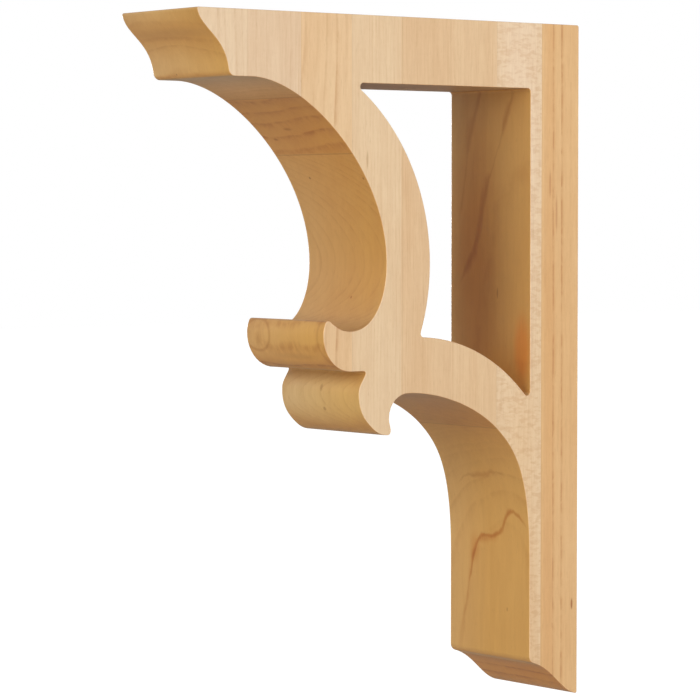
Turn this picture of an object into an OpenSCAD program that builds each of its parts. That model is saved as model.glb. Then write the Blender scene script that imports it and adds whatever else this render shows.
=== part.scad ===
// Wooden corbel bracket: a top rail, a post that lies on the wall, a C-shaped
// brace that ends in two scrolls, and an arch that springs from the post. The
// whole bracket is sawn from one glued-up blank.
//
// Frame: the back face lies on the wall in the plane Y = 0, and the bracket
// stands out towards -Y. The blank's thickness runs along X, and Z is up. The
// origin is at the middle of the back face.
//
// The side outline is drawn in a plane of its own, where a point is [out, up]:
// its distance from the wall, and its height above the origin. An angle of 0
// there points away from the wall, and 90 points up.

/* [Overall] */
// Height of the back face
height = 355.6; // [300:0.1:440]
// Reach of the top rail out from the wall
depth = 247; // [205:0.5:300]
// Thickness of the blank
thickness = 65; // [30:0.5:110]

/* [Frame] */
// Height of the top rail above the window
rail_h = 34.1; // [26:0.1:42]
// Depth of the post, out from the wall
post_w = 33.7; // [26:0.1:42]
// Least width of the C and of the arch
band_w = 28.4; // [22:0.1:35]
// Height on the post at which the arch springs
spring_h = 72; // [55:1:90]

/* [Ogee ends] */
// How far each ogee is cut in
ogee_cut = 18.8; // [14:0.1:24]
// Height of the rail's end, down to the soffit of the bay
nose_h = 32.7; // [26:0.1:42]
// Rounding at the inner end of each ogee
toe_r = 3.8; // [1:0.1:5]

/* [Bay] */
// Distance from the wall to the back of the bay
bay_back = 130.1; // [110:0.1:156]
// Level of the bay's back and of the C's middle, below the top
bay_drop = 125; // [104:0.5:150]
// Flat stretch of soffit before the bay begins to curve
soffit_flat = 10; // [7:0.1:15]
// How far the bay's lowest point lies out from its back
floor_out = 23; // [19:0.5:26]

/* [Scrolls] */
// Level of the notch between the two scrolls, below the top
notch_drop = 178.9; // [165:0.1:214]
// How far the notch lies out from the back of the bay
notch_out = 13.5; // [11:0.1:16]
// Reach of the upper scroll beyond the back of the bay
upper_out = 40.3; // [36:0.1:48]
// Thickness of wood under the bay's lowest point
floor_h = 20.2; // [17:0.1:24]
// Height of the upper scroll's lip above the bay's lowest point
lip_h = 5.6; // [4:0.1:8]
// Reach of the lower scroll beyond the back of the bay
lower_out = 17.9; // [15:0.1:21]
// Height of the lower scroll
lower_h = 33; // [28:0.1:39]
// Height of the cove behind the lower scroll
cove_h = 20.9; // [17:0.1:25]
// Width of the cove, from the tongue to the crown of the arch
cove_w = 12.6; // [10:0.1:15]
// Rounding of the lip and of the tongue's tip
tip_r = 1.9; // [1:0.1:2.5]

/* [Window] */
// How far the window's upper corner lies in from where the bay begins to curve
shoulder_in = 62.9; // [54:0.1:72]
// How far the crown of the arch's edge lies in from the back of the bay
arch_in = 19.6; // [16:0.1:24]
// Fall of the arch's edge in the window, from its crown to the post
arch_fall = 35.8; // [30:0.1:43]
// Radius left by the cutter in the window's corners
cutter_r = 2; // [1:0.1:3]

/* [Hidden] */

maple = [0.90, 0.79, 0.63];

// Longest stretch of outline between two points on a curve, and the fewest
// steps in any curve
curve_step = 2.4;
least_steps = 6;
// Pull that makes a sweep through a quarter turn nearly round
round_pull = 0.39;
// How far the window's cutter runs past each side of the blank
cut_past = 1;

// Slope of each ogee at its outer corner
ogee_lead = 8;
// Slope of the rail's ogee and of the foot's where each meets its toe, and how
// long it keeps that slope, as a share of its chord
rail_trail = 8;
rail_hold = 0.48;
foot_trail = 16;
foot_hold = 0.4;
// Slope of the bay's floor where it runs up to the lip, and of the scroll's
// side where it comes down from it
lip_rise = 37;
lip_fall = 68;
// How far the lip's crest lies in from the upper scroll's side
lip_in = 3.1;
// Height of the upper scroll's widest point above the notch, and the length
// of its flat underside
upper_side_h = 18.3;
upper_flat = 8;
// Rounding of the notch, and the slope at which the lower scroll leaves it
notch_r = 1.3;
notch_slope = 62;
// Depth of the lower scroll's widest point below the notch
lower_side_drop = 11.5;
// Where the lower scroll's underside slopes most: out from the back of the
// bay, up from the tongue's tip, and its slope
lower_turn_out = 9.4;
lower_turn_h = 4.2;
lower_turn_slope = 40;
// How far the tongue lies in from the back of the bay, how far it flares back
// at its tip, and its slope there
tongue_in = 1.7;
tongue_flare = 1.1;
tongue_slope = 8;
// The arch's haunch: out from the post, down from the crown, and its slope
haunch_out = 20.4;
haunch_drop = 22.7;
haunch_slope = 44;

// Levels
top = height / 2;
bottom = -height / 2;
soffit = top - nose_h;
bay_level = top - bay_drop;
notch_level = top - notch_drop;
floor_level = notch_level + floor_h;
tongue_level = notch_level - lower_h;
crown_level = tongue_level + cove_h;
window_top = top - rail_h;

// Distances from the wall
bay_mouth = depth - ogee_cut - toe_r - soffit_flat;
upper_side = bay_back + upper_out;
tongue_back = bay_back - tongue_in;
crown_out = tongue_back - cove_w;

// Centres of the small roundings along the outer outline
lip_centre = [upper_side - lip_in, floor_level + lip_h - tip_r];
notch_centre = [bay_back + notch_out + notch_r, notch_level - notch_r];
tip_centre = [tongue_back - tongue_flare + tip_r, tongue_level + tip_r];

// The window's two round edges. The C's edge stands upright at the level of
// the bay's back, and from there curves out to the window's upper corner. The
// arch's edge lies level over its crown, and falls to the post.
c_edge = bay_back - band_w;
c_sweep = bay_mouth - shoulder_in - c_edge;
c_r = (c_sweep ^ 2 + (window_top - bay_level) ^ 2) / (2 * c_sweep);
c_centre = [c_edge + c_r, bay_level];
arch_crown = bay_back - arch_in;
arch_r = ((arch_crown - post_w) ^ 2 + arch_fall ^ 2) / (2 * arch_fall);
arch_centre = [arch_crown, crown_level + band_w - arch_r];

function aim(angle) = [cos(angle), sin(angle)];

function angle_to(from, to) = atan2(to[1] - from[1], to[0] - from[0]);

// Steps that keep a stretch of this length within curve_step
function steps(length) = max(least_steps, ceil(length / curve_step));

// Smooth curve that leaves p at one angle and reaches q at another. Each pull
// is how long that end keeps its direction, as a share of the chord. The last
// point is left to the next stretch.
function sweep(p, p_angle, q, q_angle, p_pull = round_pull, q_pull = round_pull) =
    let (
        chord = norm(q - p),
        p_hold = p + p_pull * chord * aim(p_angle),
        q_hold = q - q_pull * chord * aim(q_angle),
        n = steps(chord)
    )
    [for (i = [0 : n - 1])
        let (t = i / n, s = 1 - t)
        s ^ 3 * p + 3 * s ^ 2 * t * p_hold + 3 * s * t ^ 2 * q_hold + t ^ 3 * q];

// Arc about a centre. The last point is left to the next stretch.
function arc(centre, r, from_angle, to_angle) =
    let (turn = to_angle - from_angle, n = steps(r * abs(turn) * PI / 180))
    [for (i = [0 : n - 1]) centre + r * aim(from_angle + turn * i / n)];

// Ogee over an edge of this length, as [along the edge, in from it], ending in
// its rounded toe
function ogee(length, trail, hold) =
    let (
        toe = [length - toe_r, ogee_cut + toe_r],
        toe_start = toe + toe_r * aim(trail - 90)
    )
    concat(
        sweep([0, 0], ogee_lead, toe_start, trail, 0.31, hold),
        arc(toe, toe_r, trail - 90, 0),
        [[length, toe[1]]]);

// Where two circles cross, on the left of the way from one centre to the other
function crossing(a, a_r, b, b_r) =
    let (
        way = b - a,
        d = norm(way),
        along = (d ^ 2 + a_r ^ 2 - b_r ^ 2) / (2 * d),
        across = sqrt(a_r ^ 2 - along ^ 2)
    )
    a + (along * way + across * [-way[1], way[0]]) / d;

// End of the top rail, from its top edge down to the soffit
function rail_end() =
    [for (p = ogee(nose_h, rail_trail, rail_hold)) [depth - p[1], top - p[0]]];

// The bay inside the C, from the soffit to the lip of the upper scroll
function bay() =
    let (
        mouth = [bay_mouth, soffit],
        back = [bay_back, bay_level],
        low = [bay_back + floor_out, floor_level],
        lip_start = lip_centre + tip_r * aim(90 + lip_rise)
    )
    concat(
        sweep(mouth, 180, back, -90, 0.27, 0.38),
        sweep(back, -90, low, 0),
        sweep(low, 0, lip_start, lip_rise),
        arc(lip_centre, tip_r, 90 + lip_rise, 90 - lip_fall));

// The two scrolls, from the lip down to the tip of the tongue
function scrolls() =
    let (
        lip_end = lip_centre + tip_r * aim(90 - lip_fall),
        upper_widest = [upper_side, notch_level + upper_side_h],
        upper_under = notch_centre + [upper_flat, notch_r],
        notch_end = notch_centre + notch_r * aim(270 - notch_slope),
        lower_widest = [bay_back + lower_out, notch_level - lower_side_drop],
        lower_turn = [bay_back + lower_turn_out, tongue_level + lower_turn_h],
        tip_start = tip_centre - [0, tip_r]
    )
    concat(
        sweep(lip_end, -lip_fall, upper_widest, -90),
        sweep(upper_widest, -90, upper_under, 180),
        [upper_under],
        arc(notch_centre, notch_r, 90, 270 - notch_slope),
        sweep(notch_end, -notch_slope, lower_widest, -90),
        sweep(lower_widest, -90, lower_turn, -180 + lower_turn_slope),
        sweep(lower_turn, -180 + lower_turn_slope, tip_start, 180, 0.33, 0.45),
        arc(tip_centre, tip_r, -90, -180 + tongue_slope));

// The underside of the arch, from the tongue to the face of the post
function arch() =
    let (
        tip_end = tip_centre + tip_r * aim(-180 + tongue_slope),
        tongue = [tongue_back, crown_level - cove_w],
        crown = [crown_out, crown_level],
        haunch = [post_w + haunch_out, crown_level - haunch_drop],
        spring = [post_w, bottom + spring_h]
    )
    concat(
        sweep(tip_end, 90 + tongue_slope, tongue, 90),
        sweep(tongue, 90, crown, 180, 0.48, 0.32),
        sweep(crown, 180, haunch, 180 + haunch_slope, 0.27, 0.35),
        sweep(haunch, 180 + haunch_slope, spring, 270, 0.22, 0.62),
        [spring]);

// Foot of the post, from its face down to the wall
function post_end() =
    let (points = ogee(post_w, foot_trail, foot_hold))
    [for (i = [len(points) - 1 : -1 : 0]) [points[i][0], bottom + points[i][1]]];

// The window between the rail, the post, the C and the arch. Each corner keeps
// the cutter's radius.
function window() =
    let (
        corner = [post_w + cutter_r, window_top - cutter_r],
        c_reach = c_r + cutter_r,
        arch_reach = arch_r + cutter_r,
        upper_v = corner[1],
        upper = [c_centre[0] - sqrt(c_reach ^ 2 - (upper_v - c_centre[1]) ^ 2), upper_v],
        waist = crossing(arch_centre, arch_reach, c_centre, c_reach),
        lower_u = corner[0],
        lower = [lower_u, arch_centre[1] + sqrt(arch_reach ^ 2 - (lower_u - arch_centre[0]) ^ 2)]
    )
    concat(
        arc(corner, cutter_r, 180, 90),
        [corner + [0, cutter_r]],
        arc(upper, cutter_r, 90, angle_to(upper, c_centre)),
        arc(c_centre, c_r, angle_to(c_centre, upper), 360 + angle_to(c_centre, waist)),
        arc(waist, cutter_r, angle_to(waist, c_centre), angle_to(waist, arch_centre)),
        arc(arch_centre, arch_r, angle_to(arch_centre, waist), angle_to(arch_centre, lower)),
        arc(lower, cutter_r, angle_to(lower, arch_centre), -180),
        [lower - [cutter_r, 0]]);

// A side outline given its thickness and set in its place
module board(points, along) {
    rotate([90, 0, 90])
        linear_extrude(along, center = true)
            polygon([for (p = points) [-p[0], p[1]]]);
}

module bracket() {
    color(maple)
        difference() {
            board(concat([[0, top]], rail_end(), bay(), scrolls(), arch(), post_end()), thickness);
            board(window(), thickness + 2 * cut_past);
        }
}

bracket();
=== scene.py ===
"""Looks of a wooden corbel bracket: laminated hard maple under a satin lacquer.

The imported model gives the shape. Here its arrises are eased as by a sanding
block, and the wood is built as the joiner built it: staves glued face to face,
each with its own growth rings, cut through by the bracket's outline.

Lengths in the finishes are millimetres in the bracket's own frame. "Out" is
the distance from the wall.
"""
import logging
import math
from dataclasses import dataclass
from enum import Enum
from typing import Optional, Union

import bmesh
import bpy
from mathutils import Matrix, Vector


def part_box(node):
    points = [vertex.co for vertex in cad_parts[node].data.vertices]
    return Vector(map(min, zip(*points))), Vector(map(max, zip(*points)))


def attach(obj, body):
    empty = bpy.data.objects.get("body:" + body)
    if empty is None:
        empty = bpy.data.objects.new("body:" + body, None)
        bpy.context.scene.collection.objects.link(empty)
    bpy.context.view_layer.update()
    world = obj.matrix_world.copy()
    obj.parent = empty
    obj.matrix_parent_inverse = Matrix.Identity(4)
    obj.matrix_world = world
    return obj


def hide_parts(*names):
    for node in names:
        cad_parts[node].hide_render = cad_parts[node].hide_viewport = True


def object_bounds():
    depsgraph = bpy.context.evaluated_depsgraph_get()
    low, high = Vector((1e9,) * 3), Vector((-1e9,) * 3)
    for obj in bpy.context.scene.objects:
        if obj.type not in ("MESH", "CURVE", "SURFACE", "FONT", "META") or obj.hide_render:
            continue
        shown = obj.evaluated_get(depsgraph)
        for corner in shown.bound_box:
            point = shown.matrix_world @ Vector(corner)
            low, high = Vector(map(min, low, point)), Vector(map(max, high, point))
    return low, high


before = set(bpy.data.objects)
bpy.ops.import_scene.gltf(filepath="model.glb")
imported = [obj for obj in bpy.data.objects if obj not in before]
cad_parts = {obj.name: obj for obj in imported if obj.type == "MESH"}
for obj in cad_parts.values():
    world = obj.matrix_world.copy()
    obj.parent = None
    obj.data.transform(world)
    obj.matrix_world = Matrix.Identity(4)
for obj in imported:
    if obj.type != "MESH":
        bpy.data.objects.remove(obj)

LOG = logging.getLogger("corbel")
MM = 0.001
CAD_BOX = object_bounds()

Colour = tuple[float, float, float]
Point = tuple[float, float, float]
Feed = Union[bpy.types.NodeSocket, float, tuple]


class Cut(Enum):
    """The way a sawn surface crosses the fibres, by the axis that it faces."""

    SIDE = 0
    FACE = 1
    END = 2


class Wiring:
    """Adds nodes to one node tree and joins them, left to right.

    Attributes:
        STEP: Distance between two nodes where the tree is drawn.
        ROWS: Nodes in a column there.
    """

    STEP = 190.0
    ROWS = 6

    def __init__(self, tree: bpy.types.NodeTree) -> None:
        """Keeps the tree to work in.

        Args:
            tree: The node tree that the nodes go into.
        """
        self.tree = tree
        self.made = 0

    def add(self, kind: str, **settings: object) -> bpy.types.Node:
        """Adds a node and sets its plain settings.

        Args:
            kind: The node's type.
            **settings: Values for the node's own properties.

        Returns:
            The new node.
        """
        node = self.tree.nodes.new(kind)
        column, row = divmod(self.made, self.ROWS)
        node.location = (column * self.STEP, -row * self.STEP)
        self.made += 1
        for name, value in settings.items():
            setattr(node, name, value)
        return node

    def feed(self, socket: bpy.types.NodeSocket, value: Feed) -> None:
        """Joins a socket to its source, or sets its plain value.

        Args:
            socket: The input to feed.
            value: An output socket, a number or a tuple.
        """
        if isinstance(value, bpy.types.NodeSocket):
            self.tree.links.new(value, socket)
        elif isinstance(value, tuple) and socket.type == "RGBA":
            socket.default_value = (*value, 1.0)
        else:
            socket.default_value = value

    def math(self, operation: str, a: Feed, b: Feed = 0.0, c: Feed = 0.0,
             clamp: bool = False) -> bpy.types.NodeSocket:
        """Adds a Math node.

        Args:
            operation: What it does.
            a: First value.
            b: Second value.
            c: Third value.
            clamp: Whether the result stays between 0 and 1.

        Returns:
            The node's result.
        """
        node = self.add("ShaderNodeMath", operation=operation, use_clamp=clamp)
        for socket, value in zip(node.inputs, (a, b, c)):
            self.feed(socket, value)
        return node.outputs[0]

    def vector(self, operation: str, a: Feed, b: Feed = (0.0, 0.0, 0.0),
               c: Feed = (0.0, 0.0, 0.0)) -> bpy.types.NodeSocket:
        """Adds a Vector Math node.

        Args:
            operation: What it does.
            a: First vector.
            b: Second vector.
            c: Third vector.

        Returns:
            The result, which is a number for a length or a dot product.
        """
        node = self.add("ShaderNodeVectorMath", operation=operation)
        for socket, value in zip(node.inputs, (a, b, c)):
            self.feed(socket, value)
        return node.outputs["Value" if operation in ("LENGTH", "DOT_PRODUCT") else "Vector"]

    def scale(self, vector: Feed, factor: Feed) -> bpy.types.NodeSocket:
        """Makes a vector longer or shorter.

        Args:
            vector: The vector.
            factor: What its three numbers are multiplied by.

        Returns:
            The scaled vector.
        """
        node = self.add("ShaderNodeVectorMath", operation="SCALE")
        self.feed(node.inputs[0], vector)
        self.feed(node.inputs["Scale"], factor)
        return node.outputs["Vector"]

    def split(self, vector: Feed) -> tuple[bpy.types.NodeSocket, ...]:
        """Splits a vector or colour into its three numbers.

        Args:
            vector: The vector.

        Returns:
            Its X, Y and Z.
        """
        node = self.add("ShaderNodeSeparateXYZ")
        self.feed(node.inputs[0], vector)
        return tuple(node.outputs)

    def span(self, value: Feed, low: Feed, high: Feed, out_low: float = 0.0,
             out_high: float = 1.0, smooth: bool = True) -> bpy.types.NodeSocket:
        """Adds a Map Range node between two levels.

        Args:
            value: What is mapped.
            low: Value that gives out_low.
            high: Value that gives out_high.
            out_low: First result.
            out_high: Last result.
            smooth: Whether the way between them eases in and out.

        Returns:
            The mapped value.
        """
        node = self.add("ShaderNodeMapRange",
                        interpolation_type="SMOOTHSTEP" if smooth else "LINEAR")
        for name, given in (("Value", value), ("From Min", low), ("From Max", high),
                            ("To Min", out_low), ("To Max", out_high)):
            self.feed(node.inputs[name], given)
        return node.outputs[0]

    def mix(self, share: Feed, a: Feed, b: Feed, blend: str = "MIX") -> bpy.types.NodeSocket:
        """Mixes two colours.

        Args:
            share: How much of the second shows.
            a: First colour.
            b: Second colour.
            blend: How the second is laid on the first.

        Returns:
            The mixed colour.
        """
        node = self.add("ShaderNodeMix", data_type="RGBA", blend_type=blend)
        for index, value in ((0, share), (6, a), (7, b)):
            self.feed(node.inputs[index], value)
        return node.outputs[2]

    def noise(self, point: Feed, per_mm: Point, detail: float = 2.0, roughness: float = 0.5,
              distortion: float = 0.0, shift: Point = (0.0, 0.0, 0.0)) -> bpy.types.Node:
        """Adds a Noise Texture stretched along the frame's axes.

        Args:
            point: Where the noise is read, in millimetres.
            per_mm: How fast it changes along X, Y and Z, in cycles a millimetre.
            detail: Number of finer layers.
            roughness: Strength of the finer layers.
            distortion: How far it is pulled about.
            shift: Offset that gives another stretch of the same noise.

        Returns:
            The texture node.
        """
        place = self.vector("MULTIPLY_ADD", point, per_mm, shift)
        node = self.add("ShaderNodeTexNoise")
        for name, value in (("Vector", place), ("Scale", 1.0), ("Detail", detail),
                            ("Roughness", roughness), ("Distortion", distortion)):
            self.feed(node.inputs[name], value)
        return node

    def use(self, group: bpy.types.NodeTree, **feeds: Feed) -> bpy.types.Node:
        """Places a node group with its own values.

        Args:
            group: The shared effect.
            **feeds: What goes into its inputs, with _ for a space in a name.

        Returns:
            The group node.
        """
        node = self.add("ShaderNodeGroup", node_tree=group)
        for name, value in feeds.items():
            self.feed(node.inputs[name.replace("_", " ")], value)
        return node


def new_group(name: str, takes: dict[str, str], gives: dict[str, str]
              ) -> tuple[Wiring, dict[str, bpy.types.NodeSocket], bpy.types.Node]:
    """Starts a shader node group.

    Args:
        name: The group's name.
        takes: Its inputs, name to kind (Float, Vector or Color).
        gives: Its outputs, name to kind.

    Returns:
        The wiring, the inputs by name and the output node.
    """
    tree = bpy.data.node_groups.new(name, "ShaderNodeTree")
    for sockets, way in ((takes, "INPUT"), (gives, "OUTPUT")):
        for label, kind in sockets.items():
            tree.interface.new_socket(label, in_out=way, socket_type=f"NodeSocket{kind}")
    wiring = Wiring(tree)
    start = wiring.add("NodeGroupInput")
    end = tree.nodes.new("NodeGroupOutput")
    end.location = (2400.0, 0.0)
    return wiring, {label: start.outputs[label] for label in takes}, end


@dataclass(frozen=True)
class Stave:
    """One board of the glued-up blank.

    Attributes:
        start: Distance of its first face from the wall.
        tone: Colour of its plain wood.
        heart: Place of the tree's heart across the thickness.
        bow: Curvature of the rings across the thickness, per millimetre.
        lean_x: How much the rings lean across the thickness.
        lean_z: How much they lean along the height.
        ring: Usual width of a ring.
        contrast: Strength of the late-wood lines.
        phase: Where the first line falls, as a share of a ring.
        uneven: How much the rings' widths differ, from 0 to 1.
        wander: How far the rings wander, from 0 to 1.
        fleck: Strength of the ray fleck, from 0 to 1.
        gold: How golden its open faces are, from 0 to 1.
        band: Strength of the soft brown band in front of each line.
    """

    start: float
    tone: Colour
    heart: float
    bow: float
    lean_x: float
    lean_z: float
    ring: float
    contrast: float
    phase: float = 0.5
    uneven: float = 0.6
    wander: float = 0.4
    fleck: float = 0.1
    gold: float = 0.85
    band: float = 0.2


@dataclass(frozen=True)
class Spot:
    """A small mark in the wood, such as a pin knot or a bark fleck, or a patch of painted light
    or shade.

    Attributes:
        centre: Its middle.
        reach: Its half lengths along X, Y and Z.
        strength: How far it changes the wood's colour.
        tint: What the wood's colour is multiplied by.
        feather: Share of its reach over which it fades.
        hollow: Whether only its rim shows, as round a swirl in the rings.
    """

    centre: Point
    reach: Point
    strength: float
    tint: Colour
    feather: float = 0.6
    hollow: bool = False


@dataclass(frozen=True)
class Streak:
    """A brown mineral streak that shows on the post's open face.

    Attributes:
        name: Its name.
        path: Points that it passes, as (X, Z), from the far side to the near one.
        width: Half its width.
        strength: How far it changes the wood's colour.
        tint: What the wood's colour is multiplied by.
        jag: How far it strays from its path.
        fade: Lengths along X over which it fades out at its far and near ends.
        HALF: Half the bracket's thickness.
        STEP: Step along X over which the path's slope is taken.
        OVER: How far past its last point it reaches along X.
        FACE_OUT: Distance of the post's open face from the wall.
        SHOWN_WITHIN: Distances from that face between which it dies out.
    """

    name: str
    path: tuple[tuple[float, float], ...]
    width: float
    strength: float
    tint: Colour = (0.72, 0.46, 0.26)
    jag: float = 3.0
    fade: tuple[float, float] = (4.0, 3.5)

    HALF = 32.5
    STEP = 1.0
    OVER = 1.0
    FACE_OUT = 33.7
    SHOWN_WITHIN = (14.0, 18.0)

    def path_group(self) -> bpy.types.NodeTree:
        """Builds the group that gives the path's height from X.

        Returns:
            The group.
        """
        w, take, end = new_group(f"Path of {self.name}", {"X": "Float"}, {"Z": "Float"})
        low, high = min(z for _, z in self.path), max(z for _, z in self.path)
        curve = w.add("ShaderNodeFloatCurve")
        line = curve.mapping.curves[0]
        while len(line.points) < len(self.path):
            line.points.new(0.5, 0.5)
        for knot, (x, z) in zip(line.points, self.path):
            knot.location = ((x + self.HALF) / (2 * self.HALF), (z - low) / (high - low))
        curve.mapping.update()
        w.feed(curve.inputs["Value"], w.span(take["X"], -self.HALF, self.HALF, smooth=False))
        w.feed(end.inputs["Z"], w.span(curve.outputs[0], 0.0, 1.0, low, high, smooth=False))
        return w.tree

    def mask(self, w: "Wiring", point: bpy.types.NodeSocket) -> bpy.types.NodeSocket:
        """Wires the streak's mask.

        Args:
            w: The material's wiring.
            point: The point in millimetres.

        Returns:
            The mask, 1 in the middle of the streak.
        """
        x, y, z = w.split(point)
        path = self.path_group()
        here = w.use(path, X=x).outputs[0]
        there = w.use(path, X=w.math("ADD", x, self.STEP)).outputs[0]
        slope = w.math("DIVIDE", w.math("SUBTRACT", there, here), self.STEP)
        stretch = w.math("SQRT", w.math("MULTIPLY_ADD", slope, slope, 1.0))
        stray = w.noise(point, (0.22, 0.22, 0.10), 3.0, 0.55, shift=(self.width, 4.0, 1.0))
        away = w.math("DIVIDE", w.math("SUBTRACT", z, here), stretch)
        away = w.math("MULTIPLY_ADD", w.math("SUBTRACT", stray.outputs[0], 0.5), self.jag, away)
        swell = w.noise(point, (0.06, 0.06, 0.03), 2.0, 0.6, shift=(9.0, self.width, 2.0))
        wide = w.span(swell.outputs[0], 0.35, 0.68, 0.35 * self.width, 1.6 * self.width)
        near = w.span(w.math("ABSOLUTE", away), 0.0, w.math("MULTIPLY", wide, 2.0), 1.0, 0.0)
        faint = w.span(swell.outputs[0], 0.3, 0.6, 0.35, 1.0)
        inside = w.span(w.math("ABSOLUTE", w.math("ADD", y, self.FACE_OUT)),
                        *self.SHOWN_WITHIN, 1.0, 0.0)
        first, end = self.path[0][0], self.path[-1][0] + self.OVER
        start = w.span(x, first, first + self.fade[0])
        last = w.span(x, end - self.fade[1], end, 1.0, 0.0)
        return w.math("MULTIPLY", w.math("MULTIPLY", near, faint),
                      w.math("MULTIPLY", inside, w.math("MULTIPLY", start, last)))


@dataclass(frozen=True)
class GrowthRings:
    """Rings and late-wood lines of a board, from a heart that may lean and bow.

    Attributes:
        wander: How far the rings stray slowly, at most.
        ripple: How far they stray quickly, at most.
        drift: Shift of the heart across the thickness, per millimetre of height.
        spread: How much the widths of the rings may differ, in rings.
        rise: Shares of a ring between which its late wood darkens.
        fall: Shares of a ring between which the dark ends.
        sharpness: Power that gathers the dark at the ring's end.
        BOARD_STEP: Distance between the noise of two boards, at full seed.
    """

    wander: float = 26.0
    ripple: float = 3.6
    drift: float = 0.1
    spread: float = 2.4
    rise: tuple[float, float] = (0.50, 0.93)
    fall: tuple[float, float] = (0.92, 1.0)
    sharpness: float = 2.4

    BOARD_STEP = (37.0, 91.0, 53.0)

    def group(self) -> bpy.types.NodeTree:
        """Builds the shared group.

        Returns:
            A group that gives the place across a ring, its line and its chance.
        """
        w, take, end = new_group(
            "Growth rings",
            {"Point": "Vector", "Heart": "Float", "Bow": "Float", "Lean X": "Float",
             "Lean Z": "Float", "Ring": "Float", "Seed": "Float", "Phase": "Float",
             "Uneven": "Float", "Wander": "Float"},
            {"Across": "Float", "Line": "Float", "Chance": "Float"})
        x, y, z = w.split(take["Point"])
        seeded = w.vector("ADD", take["Point"], w.scale(self.BOARD_STEP, take["Seed"]))
        slow = w.noise(seeded, (0.018, 0.018, 0.009), 1.0)
        quick = w.noise(seeded, (0.09, 0.09, 0.022), 1.0, 0.4)
        off = w.math("SUBTRACT", x, w.math("MULTIPLY_ADD", z, self.drift, take["Heart"]))
        bowed = w.math("MULTIPLY", w.math("MULTIPLY", off, off), take["Bow"])
        level = w.math("SUBTRACT", bowed, y)
        level = w.math("MULTIPLY_ADD", x, take["Lean X"], level)
        level = w.math("MULTIPLY_ADD", z, take["Lean Z"], level)
        stray = w.math("MULTIPLY", w.math("SUBTRACT", slow.outputs[0], 0.5), self.wander)
        stray = w.math("MULTIPLY_ADD", w.math("SUBTRACT", quick.outputs[0], 0.5),
                       self.ripple, stray)
        level = w.math("MULTIPLY_ADD", stray, take["Wander"], level)
        count = w.math("ADD", w.math("DIVIDE", level, take["Ring"]), take["Phase"])
        uneven = w.add("ShaderNodeTexNoise", noise_dimensions="1D")
        w.feed(uneven.inputs["W"], w.math("MULTIPLY_ADD", take["Seed"], 11.3,
                                          w.math("MULTIPLY", count, 0.7)))
        w.feed(uneven.inputs["Scale"], 1.0)
        w.feed(uneven.inputs["Detail"], 1.0)
        spread = w.math("MULTIPLY", w.math("SUBTRACT", uneven.outputs[0], 0.5), self.spread)
        count = w.math("MULTIPLY_ADD", spread, take["Uneven"], count)
        across = w.math("FRACT", count)
        chance = w.add("ShaderNodeTexWhiteNoise", noise_dimensions="1D")
        w.feed(chance.inputs["W"], w.math("MULTIPLY_ADD", take["Seed"], 57.0,
                                          w.math("FLOOR", count)))
        rise = w.math("POWER", w.span(across, *self.rise), self.sharpness)
        line = w.math("MULTIPLY", rise, w.span(across, *self.fall, 1.0, 0.0))
        w.feed(end.inputs["Across"], across)
        w.feed(end.inputs["Line"], line)
        w.feed(end.inputs["Chance"], chance.outputs[0])
        return w.tree


@dataclass(frozen=True)
class Fibre:
    """Fine streaks of fibres and pores along the height."""

    def group(self) -> bpy.types.NodeTree:
        """Builds the shared group.

        Returns:
            A group that gives broad streaks, fine grain and short pores.
        """
        w, take, end = new_group(
            "Fibre", {"Point": "Vector"},
            {"Streaks": "Float", "Grain": "Float", "Pores": "Float", "Cloud": "Float",
             "Mottle": "Float"})
        streaks = w.noise(take["Point"], (0.20, 0.20, 0.016), 3.0, 0.6, 0.8)
        grain = w.noise(take["Point"], (0.85, 0.85, 0.075), 3.0, 0.65, 0.5)
        pores = w.noise(take["Point"], (2.2, 2.2, 0.22), 1.0, 0.5, shift=(5.0, 3.0, 8.0))
        cloud = w.noise(take["Point"], (0.035, 0.035, 0.012), 2.0, 0.5)
        mottle = w.noise(take["Point"], (0.16, 0.16, 0.09), 4.0, 0.6, 0.6)
        w.feed(end.inputs["Mottle"], mottle.outputs[0])
        w.feed(end.inputs["Streaks"], streaks.outputs[0])
        w.feed(end.inputs["Grain"], grain.outputs[0])
        w.feed(end.inputs["Pores"], w.span(pores.outputs[0], 0.62, 0.78))
        w.feed(end.inputs["Cloud"], cloud.outputs[0])
        return w.tree


@dataclass(frozen=True)
class RayFleck:
    """Short bright and dark ticks where rays lie in the surface.

    Attributes:
        length: Length of a tick, away from the wall.
        height: Its height.
    """

    length: float = 3.2
    height: float = 1.1

    def group(self) -> bpy.types.NodeTree:
        """Builds the shared group.

        Returns:
            A group that gives the ticks' mask.
        """
        w, take, end = new_group("Ray fleck", {"Point": "Vector"}, {"Fleck": "Float"})
        ticks = w.noise(take["Point"], (0.9, 0.55 / self.length, 0.5 / self.height), 2.0, 0.6,
                        0.4)
        w.feed(end.inputs["Fleck"], w.span(ticks.outputs[0], 0.42, 0.66))
        return w.tree


def spot_group() -> bpy.types.NodeTree:
    """Builds the group of one small mark.

    Returns:
        A group that gives the mark's mask and the mask of its rim.
    """
    w, take, end = new_group(
        "Spot", {"Point": "Vector", "Centre": "Vector", "Reach": "Vector", "Feather": "Float"},
        {"Mask": "Float", "Rim": "Float"})
    away = w.vector("DIVIDE", w.vector("SUBTRACT", take["Point"], take["Centre"]), take["Reach"])
    far = w.vector("LENGTH", away)
    inner = w.math("SUBTRACT", 1.0, take["Feather"])
    w.feed(end.inputs["Mask"], w.span(far, inner, 1.0, 1.0, 0.0))
    rim = w.math("DIVIDE", w.math("ABSOLUTE", w.math("SUBTRACT", far, 1.0)), take["Feather"])
    w.feed(end.inputs["Rim"], w.span(rim, 0.0, 1.0, 1.0, 0.0))
    return w.tree


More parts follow.
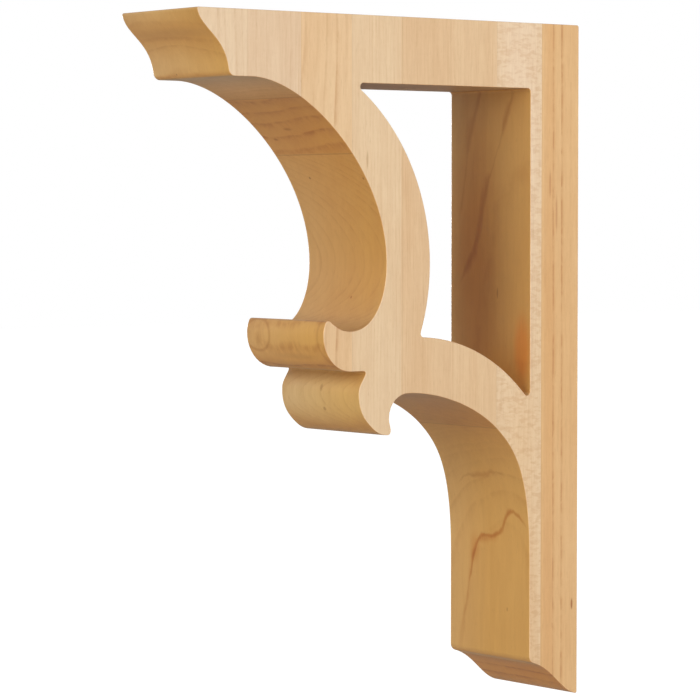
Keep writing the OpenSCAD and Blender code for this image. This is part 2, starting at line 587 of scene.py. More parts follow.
@dataclass(frozen=True)
class Wash:
    """A thin colour that a pattern lays over the wood.

    Attributes:
        tint: What the wood's colour is multiplied by.
        share: How much of it shows where the pattern is full.
    """

    tint: Colour
    share: float

    def lay(self, w: Wiring, colour: bpy.types.NodeSocket,
            pattern: bpy.types.NodeSocket) -> bpy.types.NodeSocket:
        """Lays the wash over a colour.

        Args:
            w: The material's wiring.
            colour: The colour under it.
            pattern: Where it shows, from 0 to 1.

        Returns:
            The washed colour.
        """
        return w.mix(w.math("MULTIPLY", pattern, self.share), colour, self.tint, "MULTIPLY")


@dataclass(frozen=True)
class Lacquer:
    """The satin clear lacquer, and the fine relief that shows through it.

    Attributes:
        rough: Roughness of plain wood.
        rough_grain: What the fine grain adds to it.
        rough_end: What end grain adds.
        rough_arris: What an arris adds.
        grain_height: Height of the fine grain, in parts of the relief.
        pore_height: Height of a pore.
        line_height: Height of a late-wood line.
        glue_height: Height of a glue line.
        relief: Full height of the relief, in metres.
        bump: Strength of the relief.
        index: Refractive index.
        coat: Share of the coat.
        coat_rough: Roughness of the coat.
    """

    rough: float = 0.38
    rough_grain: float = 0.14
    rough_end: float = 0.08
    rough_arris: float = -0.05
    grain_height: float = 0.5
    pore_height: float = -0.6
    line_height: float = -0.3
    glue_height: float = -0.8
    relief: float = 0.00012
    bump: float = 0.22
    index: float = 1.48
    coat: float = 0.18
    coat_rough: float = 0.32

    def shade(self, w: Wiring, colour: bpy.types.NodeSocket, fibre: bpy.types.Node,
              line: bpy.types.NodeSocket, glue: bpy.types.NodeSocket,
              end_cut: bpy.types.NodeSocket, arris: bpy.types.NodeSocket) -> None:
        """Ends the material with the lacquered surface.

        Args:
            w: The material's wiring.
            colour: The wood's colour.
            fibre: The fibres' group node.
            line: Mask of the late-wood lines.
            glue: Mask of the glue lines.
            end_cut: How far the surface is end grain.
            arris: Mask of the eased arrises.
        """
        rough = w.math("MULTIPLY_ADD", fibre.outputs["Grain"], self.rough_grain, self.rough)
        rough = w.math("MULTIPLY_ADD", end_cut, self.rough_end, rough)
        rough = w.math("MULTIPLY_ADD", arris, self.rough_arris, rough)
        height = w.math("MULTIPLY_ADD", fibre.outputs["Grain"], self.grain_height,
                        w.math("MULTIPLY", fibre.outputs["Pores"], self.pore_height))
        height = w.math("MULTIPLY_ADD", line, self.line_height, height)
        height = w.math("MULTIPLY_ADD", glue, self.glue_height, height)
        bump = w.add("ShaderNodeBump")
        bump.inputs["Strength"].default_value = self.bump
        bump.inputs["Distance"].default_value = self.relief
        w.feed(bump.inputs["Height"], height)
        wood = w.add("ShaderNodeBsdfPrincipled")
        w.feed(wood.inputs["Base Color"], colour)
        w.feed(wood.inputs["Roughness"], rough)
        w.feed(wood.inputs["Normal"], bump.outputs[0])
        wood.inputs["IOR"].default_value = self.index
        wood.inputs["Coat Weight"].default_value = self.coat
        wood.inputs["Coat Roughness"].default_value = self.coat_rough
        result = w.add("ShaderNodeOutputMaterial")
        w.feed(result.inputs["Surface"], wood.outputs[0])


@dataclass(frozen=True)
class Board:
    """The numbers of the stave at the shaded point, named as those of Stave.

    Attributes:
        seed: The stave's own stretch of the noise, as a share from 0 to 1.
    """

    tone: bpy.types.NodeSocket
    phase: bpy.types.NodeSocket
    heart: bpy.types.NodeSocket
    bow: bpy.types.NodeSocket
    lean_x: bpy.types.NodeSocket
    uneven: bpy.types.NodeSocket
    lean_z: bpy.types.NodeSocket
    ring: bpy.types.NodeSocket
    contrast: bpy.types.NodeSocket
    wander: bpy.types.NodeSocket
    seed: bpy.types.NodeSocket
    fleck: bpy.types.NodeSocket
    gold: bpy.types.NodeSocket
    band: bpy.types.NodeSocket


@dataclass(frozen=True)
class Maple:
    """Laminated hard maple under a satin clear lacquer.

    A tint is what the wood's colour is multiplied by. A pair of strengths is
    for the sawn faces and for the side faces.

    Attributes:
        staves: The boards, from the wall outwards.
        depth: Depth of the blank.
        spots: Small marks in the wood, and patches of painted light and shade.
        streaks: Brown streaks on the post's open face.
        side_tint: Tint of a side face.
        face_tint: Tint of a face sawn along the fibres.
        end_tint: Tint of end grain, also laid on any face turned upwards as painted light from
            the white room above.
        slant_bounce_tint: Tint of a face that slants downwards across the fibres, partly the
            cut's own colour and partly painted golden bounce light.
        line_tint: Tint of the late-wood lines.
        band_tint: Tint of the soft bands in front of them.
        grain_tint: Tint of the fine grain.
        glue_tint: Tint of the glue lines.
        rub_highlight_tint: Colour that an arris is lightened with, partly rubbed wear and partly
            a painted highlight.
        streaking: Wash of the broad fibre streaks.
        pores: Wash of the pores.
        clouds: Wash of the slow clouding.
        flecks: Wash of the ray fleck.
        gold_across: How much more golden it gets per millimetre across.
        lines_seen: Strengths of the late-wood lines.
        bands_seen: Strengths of the bands.
        grain_seen: Strengths of the fine grain.
        glue_seen: Strengths of the glue lines.
        glue_half: Half the width of a glue line.
        glue_fade: How many times that distance it takes to fade out.
        rub_highlight_share: How far an arris is lightened, as wear and painted highlight.
        lacquer: The surface.
        HEART_SPAN: Widest range of a stave's heart, which a ramp holds as 0 to 1.
        BOW_SPAN: The same for its bow.
        LEAN_SPAN: The same for its leans.
        RING_SPAN: The same for its rings' width.
        BOARD_STEP: Distance between the fibres of two boards, at full seed.
    """

    staves: tuple[Stave, ...]
    depth: float
    spots: tuple[Spot, ...] = ()
    streaks: tuple[Streak, ...] = ()
    side_tint: Colour = (1.0, 1.0, 1.0)
    face_tint: Colour = (0.95, 0.69, 0.29)
    end_tint: Colour = (0.76, 0.62, 0.42)
    slant_bounce_tint: Colour = (0.92, 0.50, 0.08)
    line_tint: Colour = (0.66, 0.43, 0.25)
    band_tint: Colour = (0.66, 0.45, 0.28)
    grain_tint: Colour = (0.62, 0.48, 0.34)
    glue_tint: Colour = (0.45, 0.30, 0.18)
    rub_highlight_tint: Colour = (1.0, 0.93, 0.82)
    streaking: Wash = Wash((0.70, 0.50, 0.34), 0.14)
    pores: Wash = Wash((0.45, 0.30, 0.18), 0.16)
    clouds: Wash = Wash((0.86, 0.72, 0.56), 0.20)
    flecks: Wash = Wash((0.78, 0.62, 0.48), 0.40)
    gold_across: float = 0.005
    lines_seen: tuple[float, float] = (0.55, 0.60)
    bands_seen: tuple[float, float] = (1.0, 0.35)
    grain_seen: tuple[float, float] = (0.05, 0.12)
    glue_seen: tuple[float, float] = (0.32, 0.12)
    glue_half: float = 0.16
    glue_fade: float = 2.4
    rub_highlight_share: float = 0.03
    lacquer: Lacquer = Lacquer()

    HEART_SPAN = 160.0
    BOW_SPAN = 0.04
    LEAN_SPAN = 1.2
    RING_SPAN = 8.0
    BOARD_STEP = (13.0, 0.0, 211.0)

    def per_stave(self, w: Wiring, share: bpy.types.NodeSocket, name: str,
                  values: list[tuple[float, float, float, float]]) -> bpy.types.Node:
        """Gives each stave its own four numbers, by distance from the wall.

        Args:
            w: The material's wiring.
            share: Distance from the wall as a share of the depth.
            name: Label of the ramp.
            values: Four numbers for each stave, from 0 to 1.

        Returns:
            The ramp, whose colour and alpha are those of the stave at the point.
        """
        node = w.add("ShaderNodeValToRGB", label=name)
        ramp = node.color_ramp
        ramp.interpolation = "CONSTANT"
        while len(ramp.elements) < len(self.staves):
            ramp.elements.new(1.0)
        for element, stave, value in zip(ramp.elements, self.staves, values):
            element.position = stave.start / self.depth
            element.color = value
        w.feed(node.inputs[0], share)
        return node

    def board(self, w: Wiring, share: bpy.types.NodeSocket) -> Board:
        """Reads the numbers of the stave at the point.

        Args:
            w: The material's wiring.
            share: Distance from the wall as a share of the depth.

        Returns:
            The stave's numbers.
        """
        s = self.staves
        tone = self.per_stave(w, share, "Tone, phase", [(*a.tone, a.phase) for a in s])
        form = self.per_stave(w, share, "Heart, bow, lean across, unevenness", [
            (a.heart / self.HEART_SPAN + 0.5, a.bow / self.BOW_SPAN + 0.5,
             a.lean_x / self.LEAN_SPAN + 0.5, a.uneven) for a in s])
        lie = self.per_stave(w, share, "Lean along, ring, contrast, wander", [
            (a.lean_z / self.LEAN_SPAN + 0.5, a.ring / self.RING_SPAN, a.contrast, a.wander)
            for a in s])
        look = self.per_stave(w, share, "Seed, fleck, gold, band", [
            (i / len(s), a.fleck, a.gold, a.band) for i, a in enumerate(s)])
        heart, bow, lean_x = w.split(w.vector("MULTIPLY", w.vector(
            "SUBTRACT", form.outputs[0], (0.5, 0.5, 0.5)),
            (self.HEART_SPAN, self.BOW_SPAN, self.LEAN_SPAN)))
        lean_z, ring, contrast = w.split(lie.outputs[0])
        lean_z = w.math("MULTIPLY", w.math("SUBTRACT", lean_z, 0.5), self.LEAN_SPAN)
        ring = w.math("MULTIPLY", ring, self.RING_SPAN)
        seed, fleck, gold = w.split(look.outputs[0])
        return Board(tone.outputs[0], tone.outputs[1], heart, bow, lean_x, form.outputs[1],
                     lean_z, ring, contrast, lie.outputs[1], seed, fleck, gold,
                     look.outputs[1])

    def cut_colour(self, w: Wiring, board: Board, x: bpy.types.NodeSocket,
                   normal: bpy.types.NodeSocket,
                   facing: tuple[bpy.types.NodeSocket, ...]) -> bpy.types.NodeSocket:
        """Tints the board by the cut of its fibres, with painted light by facing: golden bounce
        on faces slanting down, greyer light on faces turned up.

        Args:
            w: The material's wiring.
            board: The stave's numbers.
            x: Place across the thickness.
            normal: The surface's normal.
            facing: How far the surface faces along X, Y and Z.

        Returns:
            The plain wood's colour.
        """
        # Painted light by facing: faces turned up take the greyer end tint, faces slanting down
        # the golden slant tint as bounce light.
        facing_up_light = w.span(w.split(normal)[2], -0.2, 0.15)
        end_cut = facing[Cut.END.value]
        cross_grain_and_light = w.mix(w.math("MAXIMUM", w.math("POWER", end_cut, 4.0), facing_up_light),
                              self.slant_bounce_tint, self.end_tint)
        tinted: Optional[bpy.types.NodeSocket] = None
        for cut, colour in zip(Cut, (self.side_tint, self.face_tint, cross_grain_and_light)):
            part = w.scale(colour, facing[cut.value])
            tinted = part if tinted is None else w.vector("ADD", tinted, part)
        gold = w.math("MULTIPLY_ADD", x, self.gold_across, board.gold, clamp=True)
        tinted = w.mix(gold, w.mix(end_cut, (1.0, 1.0, 1.0), tinted), tinted)
        return w.mix(1.0, board.tone, tinted, "MULTIPLY")

    def add_fibres(self, w: Wiring, colour: bpy.types.NodeSocket, fibre: bpy.types.Node,
                   side: bpy.types.NodeSocket) -> bpy.types.NodeSocket:
        """Adds the streaks, fine grain, pores and clouding of the fibres.

        Args:
            w: The material's wiring.
            colour: The colour under them.
            fibre: The fibres' group node.
            side: How far the surface is a side face.

        Returns:
            The colour with the fibres.
        """
        colour = self.streaking.lay(w, colour, w.span(fibre.outputs["Streaks"], 0.3, 0.7))
        grain = w.span(fibre.outputs["Grain"], 0.35, 0.7)
        grain = w.math("MULTIPLY", grain, w.span(side, 0.0, 1.0, *self.grain_seen))
        colour = w.mix(grain, colour, self.grain_tint, "MULTIPLY")
        colour = self.pores.lay(w, colour, fibre.outputs["Pores"])
        return self.clouds.lay(w, colour, w.span(fibre.outputs["Cloud"], 0.3, 0.7))

    def add_rings(self, w: Wiring, colour: bpy.types.NodeSocket, board: Board,
                  point: bpy.types.NodeSocket, fibre: bpy.types.Node,
                  side: bpy.types.NodeSocket
                  ) -> tuple[bpy.types.NodeSocket, bpy.types.NodeSocket]:
        """Adds the growth rings' soft bands and late-wood lines.

        Args:
            w: The material's wiring.
            colour: The colour under them.
            board: The stave's numbers.
            point: The point in millimetres.
            fibre: The fibres' group node.
            side: How far the surface is a side face.

        Returns:
            The colour with the rings, and the lines' mask.
        """
        rings = w.use(GrowthRings().group(), Point=point, Heart=board.heart, Bow=board.bow,
                      Lean_X=board.lean_x, Lean_Z=board.lean_z, Ring=board.ring,
                      Seed=board.seed, Phase=board.phase, Uneven=board.uneven,
                      Wander=board.wander)
        mottle = w.span(fibre.outputs["Mottle"], 0.35, 0.65)
        band = w.math("MULTIPLY", w.math("POWER", rings.outputs["Across"], 2.2),
                      w.span(rings.outputs["Across"], 0.82, 1.0, 1.0, 0.0))
        band = w.math("MULTIPLY", band, board.band)
        band = w.math("MULTIPLY", band, w.math("MULTIPLY_ADD", mottle, 0.9, 0.25))
        band = w.math("MULTIPLY", band, w.span(side, 0.0, 1.0, *self.bands_seen))
        colour = w.mix(band, colour, self.band_tint, "MULTIPLY")
        chance = w.span(rings.outputs["Chance"], 0.15, 1.0, 0.1, 1.0)
        strength = w.math("MULTIPLY", chance, board.contrast)
        strength = w.math("MULTIPLY", strength, w.math("MULTIPLY_ADD", mottle, 0.9, 0.3))
        strength = w.math("MULTIPLY", strength, w.span(side, 0.0, 1.0, *self.lines_seen))
        line = w.math("MULTIPLY", rings.outputs["Line"], strength, clamp=True)
        return w.mix(line, colour, self.line_tint, "MULTIPLY"), line

    def glue(self, w: Wiring, out: bpy.types.NodeSocket) -> bpy.types.NodeSocket:
        """Masks the thin glue lines between the staves.

        Args:
            w: The material's wiring.
            out: Distance from the wall.

        Returns:
            The mask, 1 on a glue line.
        """
        mask: Feed = 0.0
        for stave in self.staves[1:]:
            near = w.math("ABSOLUTE", w.math("SUBTRACT", out, stave.start))
            line = w.span(near, self.glue_half, self.glue_fade * self.glue_half, 1.0, 0.0)
            mask = w.math("MAXIMUM", mask, line)
        return mask

    def add_marks(self, w: Wiring, colour: bpy.types.NodeSocket, point: bpy.types.NodeSocket,
                  side: bpy.types.NodeSocket) -> bpy.types.NodeSocket:
        """Adds the spots and streaks.

        A spot whose middle lies on a side face shows only on the side faces, and
        any other only off them.

        Args:
            w: The material's wiring.
            colour: The colour under them.
            point: The point in millimetres.
            side: How far the surface is a side face.

        Returns:
            The colour with the marks.
        """
        spot = spot_group()
        for mark in self.spots:
            mask = w.use(spot, Point=point, Centre=mark.centre, Reach=mark.reach,
                         Feather=mark.feather).outputs["Rim" if mark.hollow else "Mask"]
            on_side = abs(mark.centre[0]) >= Streak.HALF
            shown = w.span(side, 0.2, 0.8, *((0.0, mark.strength) if on_side
                                             else (mark.strength, 0.0)))
            colour = w.mix(w.math("MULTIPLY", mask, shown), colour, mark.tint, "MULTIPLY")
        for streak in self.streaks:
            mask = w.math("MULTIPLY", streak.mask(w, point),
                          w.span(side, 0.1, 0.6, streak.strength, 0.0))
            colour = w.mix(mask, colour, streak.tint, "MULTIPLY")
        return colour

    def material(self) -> bpy.types.Material:
        """Builds the wood.

        Returns:
            The material.
        """
        made = bpy.data.materials.new("laminated_maple")
        made.use_nodes = True
        made.node_tree.nodes.clear()
        w = Wiring(made.node_tree)
        point = w.scale(w.add("ShaderNodeTexCoord").outputs["Object"], 1.0 / MM)
        x, y, _ = w.split(point)
        out = w.math("MULTIPLY", y, -1.0)
        board = self.board(w, w.math("DIVIDE", out, self.depth))
        normal = w.add("ShaderNodeNewGeometry").outputs["Normal"]
        facing = w.split(w.vector("MULTIPLY", normal, normal))
        side, _, end_cut = facing
        moved = w.vector("ADD", point, w.scale(self.BOARD_STEP, board.seed))
        fibre = w.use(Fibre().group(), Point=moved)

        colour = self.cut_colour(w, board, x, normal, facing)
        colour = self.add_fibres(w, colour, fibre, side)
        colour, line = self.add_rings(w, colour, board, point, fibre, side)
        fleck = w.use(RayFleck().group(), Point=point).outputs["Fleck"]
        ticks = w.math("MULTIPLY", fleck, w.math("MULTIPLY", side, board.fleck))
        colour = self.flecks.lay(w, colour, ticks)
        glue = self.glue(w, out)
        seen = w.math("MULTIPLY", glue, w.span(side, 0.0, 1.0, *self.glue_seen))
        colour = w.mix(seen, colour, self.glue_tint, "MULTIPLY")
        colour = self.add_marks(w, colour, point, side)
        arris = w.add("ShaderNodeAttribute", attribute_name="arris").outputs["Fac"]
        # Arrises lightened: partly rubbed wear, partly a painted highlight.
        colour = w.mix(w.math("MULTIPLY", arris, self.rub_highlight_share), colour, self.rub_highlight_tint, "SCREEN")
        self.lacquer.shade(w, colour, fibre, line, glue, end_cut, arris)
        return made


@dataclass
class Bracket:
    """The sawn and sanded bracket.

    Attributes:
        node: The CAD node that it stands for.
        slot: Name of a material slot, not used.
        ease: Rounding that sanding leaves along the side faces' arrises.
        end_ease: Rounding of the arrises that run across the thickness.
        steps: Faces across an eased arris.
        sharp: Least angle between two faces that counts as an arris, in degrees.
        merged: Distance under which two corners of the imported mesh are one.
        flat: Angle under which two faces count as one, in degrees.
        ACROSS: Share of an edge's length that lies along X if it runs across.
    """

    node: str = "bracket"
    slot: str = "maple"
    ease: float = 0.38
    end_ease: float = 1.1
    steps: int = 4
    sharp: float = 32.0
    merged: float = 0.004
    flat: float = 0.2

    ACROSS = 0.5

    def build(self) -> bpy.types.Object:
        """Copies the CAD shape, cleans the copy and eases its arrises.

        Returns:
            The new piece.
        """
        bpy.ops.object.select_all(action="DESELECT")
        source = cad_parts[self.node]
        source.select_set(True)
        bpy.context.view_layer.objects.active = source
        bpy.ops.object.duplicate()
        piece = bpy.context.view_layer.objects.active
        piece.name = piece.data.name = "sanded_bracket"
        for key in list(piece.keys()):
            del piece[key]
        piece.parent = None
        bpy.ops.object.mode_set(mode="EDIT")
        bpy.ops.mesh.select_all(action="SELECT")
        bpy.ops.mesh.remove_doubles(threshold=self.merged * MM)
        bpy.ops.mesh.normals_make_consistent(inside=False)
        bpy.ops.mesh.dissolve_limited(angle_limit=math.radians(self.flat), delimit=set())
        for across, rounding in ((True, self.end_ease), (False, self.ease)):
            self.select_arrises(piece, across)
            bpy.ops.mesh.bevel(offset=rounding * MM, offset_type="OFFSET", segments=self.steps,
                               profile=0.5, affect="EDGES", clamp_overlap=True,
                               miter_outer="ARC", loop_slide=False)
        self.mark_arrises(piece)
        bpy.ops.object.mode_set(mode="OBJECT")
        bpy.ops.object.shade_smooth_by_angle(angle=math.radians(self.sharp))
        weigh = piece.modifiers.new("Flat faces stay flat", "WEIGHTED_NORMAL")
        weigh.keep_sharp = True
        weigh.weight = 100
        bpy.ops.object.modifier_apply(modifier=weigh.name)
        return piece

    def select_arrises(self, piece: bpy.types.Object, across: bool) -> None:
        """Selects the outward edges that a sanding block reaches.

        Args:
            piece: The piece in edit mode.
            across: Whether to take those that run across the thickness, or the
                others.
        """
        mesh = bmesh.from_edit_mesh(piece.data)
        bpy.ops.mesh.select_all(action="DESELECT")
        bpy.ops.mesh.select_mode(type="EDGE")
        for edge in mesh.edges:
            start, end = (v.co for v in edge.verts)
            runs_across = abs(end.x - start.x) > self.ACROSS * (end - start).length
            if (runs_across == across and len(edge.link_faces) == 2
                    and edge.calc_face_angle_signed() > math.radians(self.sharp)):
                edge.select_set(True)
        bmesh.update_edit_mesh(piece.data)

    def mark_arrises(self, piece: bpy.types.Object) -> None:
        """Keeps where the eased arrises are, for their wear and their painted highlight.

        Args:
            piece: The piece in edit mode, with the eased faces selected.
        """
        mesh = bmesh.from_edit_mesh(piece.data)
        layer = mesh.loops.layers.float.new("arris")
        for face in mesh.faces:
            for loop in face.loops:
                loop[layer] = 1.0 if face.select else 0.0
        bmesh.update_edit_mesh(piece.data)

    def dress(self, piece: bpy.types.Object, wood: bpy.types.Material) -> None:
        """Gives the piece its finish and its place in the frame.

        Args:
            piece: The piece.
            wood: Its material.
        """
        piece.data.materials.clear()
        piece.data.materials.append(wood)
        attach(piece, "root")
        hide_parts(self.node)


@dataclass(frozen=True)
class Softbox:
    """A square studio light.

    Attributes:
        name: Its name.
        place: Where it hangs, in metres.
        size: Length of its side, in metres.
        power: Its power, in watts.
        spread: How wide it shines, in degrees.
        colour: Its colour.
    """

    name: str
    place: Point
    size: float
    power: float
    spread: float = 180.0
    colour: Colour = (1.0, 1.0, 1.0)

    def build(self, target: Vector) -> bpy.types.Object:
        """Hangs the light and turns it to the bracket.

        Args:
            target: The point that it shines at.

        Returns:
            The light.
        """
        data = bpy.data.lights.new(self.name, "AREA")
        data.energy, data.size, data.color = self.power, self.size, self.colour
        data.spread = math.radians(self.spread)
        light = bpy.data.objects.new(self.name, data)
        bpy.context.scene.collection.objects.link(light)
        light.location = self.place
        light.rotation_euler = (target - Vector(self.place)).to_track_quat("-Z", "Y").to_euler()
        return light


@dataclass
class Studio:
    """Pale floor, white surroundings, soft lights and the camera.

    Attributes:
        floor_drop: How far the floor lies under the bracket, in metres.
        floor_side: Its side, in metres.
        floor_grey: How much light it throws back.
        surround: Light of the surroundings.
        mirrored: What a gloss sees of them beyond that.
        floor_mirrored: The same of the floor.
        lights: The lights.
        azimuth: The camera's direction round Z, in degrees.
        elevation: Its height over the horizon, in degrees.
        camera_place: Where it stands, in metres.
        lens: Its focal length, in millimetres.
        sensor: Width of its sensor, in millimetres.
        clip: Nearest and farthest distance that it sees, in metres.
    """

    floor_drop: float = 0.45
    floor_side: float = 30.0
    floor_grey: float = 0.62
    surround: float = 0.16
    mirrored: float = 0.40
    floor_mirrored: float = 0.06
    lights: tuple[Softbox, ...] = (
        Softbox("key_right", (2.0, -0.38, 0.55), 1.2, 33.2),
        Softbox("front", (0.35, -2.0, 0.45), 1.2, 17.4),
        Softbox("top", (0.3, -0.4, 1.9), 1.4, 3.0),
        Softbox("back", (0.0, 2.2, 0.4), 1.2, 11.0),
        Softbox("left", (-2.4, 0.0, 0.1), 0.3, 1.5, 40.0),
    )
    azimuth: float = 52.056
    elevation: float = 2.497
    camera_place: Point = (1.27008, -1.11864, 0.07831)
    lens: float = 161.06
    sensor: float = 36.0
    clip: tuple[float, float] = (0.05, 60.0)

    def build(self) -> None:
        """Builds the floor, the surroundings, the lights and the camera."""
        low, high = CAD_BOX
        self.build_floor(low.z - self.floor_drop)
        self.build_surround()
        for light in self.lights:
            light.build((low + high) / 2)
        self.build_camera()

    def build_floor(self, level: float) -> None:
        """Lays the pale floor well under the hanging bracket.

        Args:
            level: Its height, in metres.
        """
        bpy.ops.object.select_all(action="DESELECT")
        bpy.ops.mesh.primitive_plane_add(size=self.floor_side, location=(0.0, 0.0, level))
        floor = bpy.context.view_layer.objects.active
        floor.name = "floor"
        bpy.ops.object.transform_apply(location=True, rotation=True, scale=True)
        pale = bpy.data.materials.new("pale_floor")
        pale.use_nodes = True
        pale.node_tree.nodes.clear()
        w = Wiring(pale.node_tree)
        matt = w.add("ShaderNodeBsdfDiffuse")
        matt.inputs["Color"].default_value = (*(self.floor_grey,) * 3, 1.0)
        glow = w.add("ShaderNodeEmission")
        glow.inputs["Strength"].default_value = 1.0
        both = w.add("ShaderNodeAddShader")
        w.feed(both.inputs[0], matt.outputs[0])
        w.feed(both.inputs[1], glow.outputs[0])
        path = w.add("ShaderNodeLightPath")
        seen = w.add("ShaderNodeMixShader")
        w.feed(seen.inputs[0], w.math("MULTIPLY_ADD", path.outputs["Is Glossy Ray"],
                                      self.floor_mirrored, path.outputs["Is Camera Ray"],
                                      clamp=True))
        w.feed(seen.inputs[1], matt.outputs[0])
        w.feed(seen.inputs[2], both.outputs[0])
        clear = w.add("ShaderNodeBsdfTransparent")
        under = w.add("ShaderNodeMixShader")
        w.feed(under.inputs[0], w.add("ShaderNodeNewGeometry").outputs["Backfacing"])
        w.feed(under.inputs[1], seen.outputs[0])
        w.feed(under.inputs[2], clear.outputs[0])
        result = w.add("ShaderNodeOutputMaterial")
        w.feed(result.inputs["Surface"], under.outputs[0])
        floor.data.materials.append(pale)

    def build_surround(self) -> None:
        """Makes the white surroundings, which light the bracket only softly."""
        world = bpy.data.worlds.new("white_room")
        bpy.context.scene.world = world
        world.use_nodes = True
        world.node_tree.nodes.clear()
        w = Wiring(world.node_tree)
        path = w.add("ShaderNodeLightPath")
        strength = w.span(path.outputs["Is Camera Ray"], 0.0, 1.0, self.surround, 1.0, False)
        strength = w.math("MULTIPLY_ADD", path.outputs["Is Glossy Ray"], self.mirrored, strength)
        light = w.add("ShaderNodeBackground")
        light.inputs["Color"].default_value = (1.0, 1.0, 1.0, 1.0)
        w.feed(light.inputs["Strength"], strength)
        result = w.add("ShaderNodeOutputWorld")
        w.feed(result.inputs["Surface"], light.outputs[0])
        bpy.context.scene.view_settings.view_transform = "Standard"

    def build_camera(self) -> None:
        """Sets up the camera."""
        data = bpy.data.cameras.new("camera")
        data.lens, data.sensor_width = self.lens, self.sensor
        data.clip_start, data.clip_end = self.clip
        camera = bpy.data.objects.new("camera", data)
        bpy.context.scene.collection.objects.link(camera)
        camera.location = self.camera_place
        camera.rotation_euler = (math.radians(90.0 - self.elevation), 0.0,
                                 math.radians(self.azimuth))
        bpy.context.scene.camera = camera


# The blank's boards, from the wall outwards.
STAVES = (
    Stave(0.0, (0.75, 0.48, 0.232), 10.0, 0.0004, 0.01, 0.0, 5.9, 1.0,
          phase=0.80, uneven=0.10, wander=0.06, gold=0.9, band=0.30),
    Stave(25.6, (0.79, 0.60, 0.39), 25.5, 0.0018, 0.0, 0.030, 3.2, 0.22,
          phase=0.2, uneven=0.5, wander=0.22, fleck=1.0, gold=1.0, band=0.15),
    Stave(56.6, (0.745, 0.53, 0.315), -20.0, 0.0030, 0.05, 0.01, 2.4, 0.40),
    Stave(88.3, (0.725, 0.505, 0.295), 15.0, 0.0030, 0.04, -0.01, 2.2, 0.40),
    Stave(119.9, (0.755, 0.56, 0.35), 0.0, 0.0006, 0.30, 0.0, 2.3, 0.36,
          phase=0.3, uneven=0.45, wander=0.16, gold=0.90, band=0.15),
    Stave(152.0, (0.755, 0.53, 0.305), -10.0, 0.0004, 0.0, 0.01, 7.4, 0.68,
          phase=0.81, uneven=0.20, wander=0.50, gold=0.90, band=0.60),
    Stave(184.2, (0.73, 0.54, 0.355), 12.0, 0.0015, 0.05, 0.0, 3.0, 0.40,
          uneven=0.5, wander=0.15, gold=0.75, band=0.2),
    Stave(216.8, (0.74, 0.56, 0.37), -10.0, 0.0025, 0.06, 0.0, 5.2, 0.40,
          phase=0.9, uneven=0.5, wander=0.3, gold=0.85, band=0.22),
)

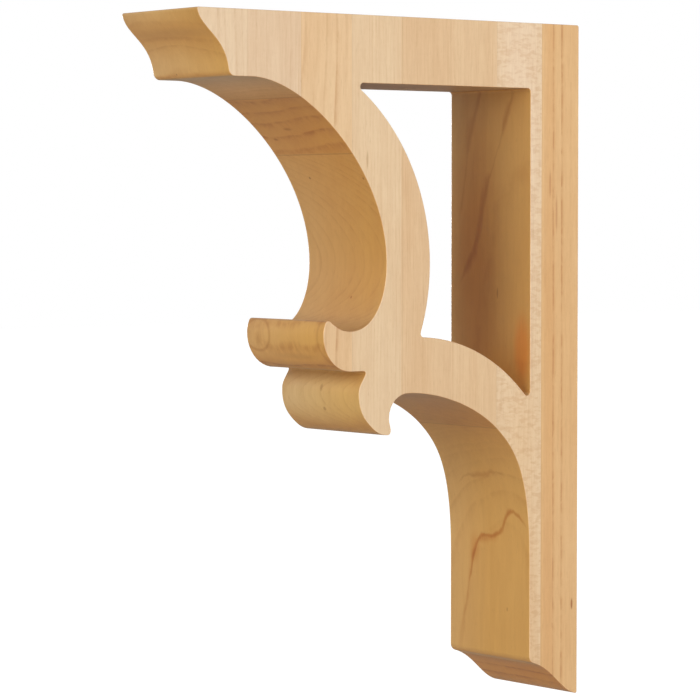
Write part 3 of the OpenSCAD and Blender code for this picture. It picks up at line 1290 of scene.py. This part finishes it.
# Tints of the pin knots, of smoky shading and of rings round a knot.
PIN = (0.42, 0.26, 0.16)
SMOKE = (0.70, 0.62, 0.60)
RING = (0.66, 0.45, 0.28)
SPOTS = (
    # Pin knots and short brown marks on the sawn faces.
    Spot((-14.0, -143.5, 96.5), (0.9, 1.2, 1.0), 0.7, PIN),
    Spot((30.0, -143.0, 96.0), (1.0, 1.2, 1.0), 0.6, PIN),
    Spot((7.0, -133.0, 35.5), (0.9, 1.2, 1.1), 0.7, (0.6, 0.32, 0.16)),
    Spot((-22.5, -158.5, 116.5), (2.6, 1.5, 1.3), 0.6, (0.5, 0.33, 0.22)),
    Spot((-6.0, -163.5, 121.5), (5.0, 1.6, 1.6), 0.5, (0.55, 0.38, 0.26)),
    Spot((-12.5, -228.0, 147.0), (0.8, 0.9, 0.8), 0.6, PIN),
    Spot((14.5, -33.5, -132.0), (0.9, 1.0, 1.6), 0.35, PIN),
    Spot((6.0, -33.5, 36.0), (0.9, 1.0, 4.0), 0.45, PIN),
    # Marks and tints on the side faces, and a painted highlight high on the post's side face.
    Spot((32.5, -4.0, -129.5), (1.2, 0.9, 3.8), 0.8, (0.45, 0.24, 0.12)),
    Spot((32.5, -142.5, 105.0), (1.2, 0.8, 6.0), 0.5, (0.55, 0.42, 0.28)),
    Spot((32.5, -20.0, 93.5), (1.2, 1.0, 9.0), 0.4, (0.60, 0.34, 0.20)),
    Spot((32.5, -15.5, 78.0), (1.2, 1.0, 13.0), 0.4, (0.60, 0.34, 0.20)),
    Spot((32.5, -20.5, 0.0), (2.0, 6.0, 600.0), 0.45, (0.90, 0.76, 0.62), 0.9),
    Spot((32.5, -41.0, -170.0), (2.0, 24.0, 230.0), 0.8, (0.96, 0.85, 0.70), 0.9),
    # Painted highlight: the post's side face lighter and bluer high up.
    Spot((32.5, -41.0, 150.0), (2.0, 24.0, 200.0), 1.0, (1.05, 1.08, 1.17), 0.9),
    # Knots in the lower scroll.
    Spot((1.0, -148.0, -10.0), (1.5, 1.6, 3.2), 0.45, (0.52, 0.34, 0.2)),
    Spot((2.0, -146.5, -21.5), (1.6, 1.2, 1.6), 0.55, (0.52, 0.34, 0.2)),
    # Stains on the post's open face, and painted shade on it inside the window.
    Spot((26.0, -33.5, 7.0), (9.0, 3.0, 24.0), 0.70, (1.08, 0.66, 0.32), 0.7),
    Spot((-12.0, -33.5, -101.0), (6.0, 3.0, 12.0), 0.5, (0.86, 0.60, 0.36), 0.9),
    # Painted shade on the window's inner wall, towards the far side where the arm keeps the
    # light off.
    Spot((-14.0, -33.5, 60.0), (28.0, 3.0, 100.0), 0.9, (0.84, 0.60, 0.32), 0.9),
    # A smoky band on the nose, then painted highlights on the nose, the soffit's front and the
    # scrolls.
    Spot((-5.0, -239.0, 166.5), (60.0, 5.0, 7.0), 0.4, SMOKE, 0.9),
    # Painted highlight on the nose, a bluish painted reflection on the soffit's front, and
    # painted sheen on the upper and lower scrolls.
    Spot((0.0, -232.0, 155.0), (55.0, 30.0, 40.0), 1.0, (1.10, 1.13, 1.14), 0.4),
    Spot((0.0, -204.0, 141.0), (70.0, 34.0, 7.5), 1.0, (1.2, 1.3, 1.5), 0.7),
    Spot((0.0, -169.0, 14.0), (50.0, 16.0, 18.0), 1.0, (1.13, 1.23, 1.35), 0.5),
    Spot((0.0, -147.0, -18.0), (50.0, 14.0, 20.0), 1.0, (1.14, 1.31, 1.62), 0.5),
    # Swirls in the rings and a smoky band on the upper scroll.
    Spot((-24.0, -169.0, 16.5), (11.0, 30.0, 8.2), 0.45, RING, 0.16, True),
    Spot((32.0, -169.0, 16.0), (5.0, 30.0, 12.0), 0.35, RING, 0.3, True),
    Spot((6.0, -168.0, 6.0), (26.0, 8.0, 2.4), 0.35, SMOKE, 0.9),
)
STREAKS = (
    Streak("the leg's streak", ((-28.0, -168.0), (-20.0, -135.0), (-16.0, -118.0),
                                (-12.0, -102.0), (-8.0, -95.0), (4.0, -93.0), (10.0, -90.0),
                                (14.0, -83.0), (18.0, -80.0), (25.0, -82.0), (31.0, -87.0)),
           1.0, 0.85, fade=(16.0, 6.0)),
    Streak("the leg's broad streak", ((-19.0, -128.0), (-15.0, -110.0), (-11.5, -100.0),
                                      (-8.0, -96.0), (4.0, -94.0), (9.0, -91.5)),
           2.0, 0.55, (0.80, 0.52, 0.28), fade=(6.0, 7.0)),
    Streak("the leg's upper streak", ((-26.0, -82.0), (-19.0, -65.0), (-10.0, -61.5),
                                      (2.0, -61.0), (9.0, -59.0), (20.0, -60.5)),
           0.8, 0.45, RING, fade=(10.0, 8.0)),
    Streak("the window's streak", ((-28.0, 36.0), (-21.0, 47.0), (-12.0, 61.0), (-9.0, 71.0),
                                   (-5.0, 87.0), (6.0, 112.0), (11.0, 125.0), (19.0, 142.0)),
           1.2, 0.6, RING, fade=(10.0, 4.0)),
    Streak("the window's far streak", ((-27.0, 70.0), (-22.0, 93.0), (-17.0, 118.0),
                                       (-10.0, 138.0), (-8.0, 143.0)),
           1.4, 0.50, (0.70, 0.52, 0.36), fade=(4.0, 1.0)),
)


def main() -> None:
    """Builds the bracket, its finish and the studio."""
    logging.basicConfig(level=logging.INFO, format="%(name)s: %(message)s")
    low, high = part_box("bracket")
    bracket = Bracket()
    piece = bracket.build()
    bracket.dress(piece, Maple(STAVES, (high.y - low.y) / MM, SPOTS, STREAKS).material())
    LOG.info("%s: %d faces", piece.name, len(piece.data.polygons))
    Studio().build()


if __name__ == "__main__":
    main()
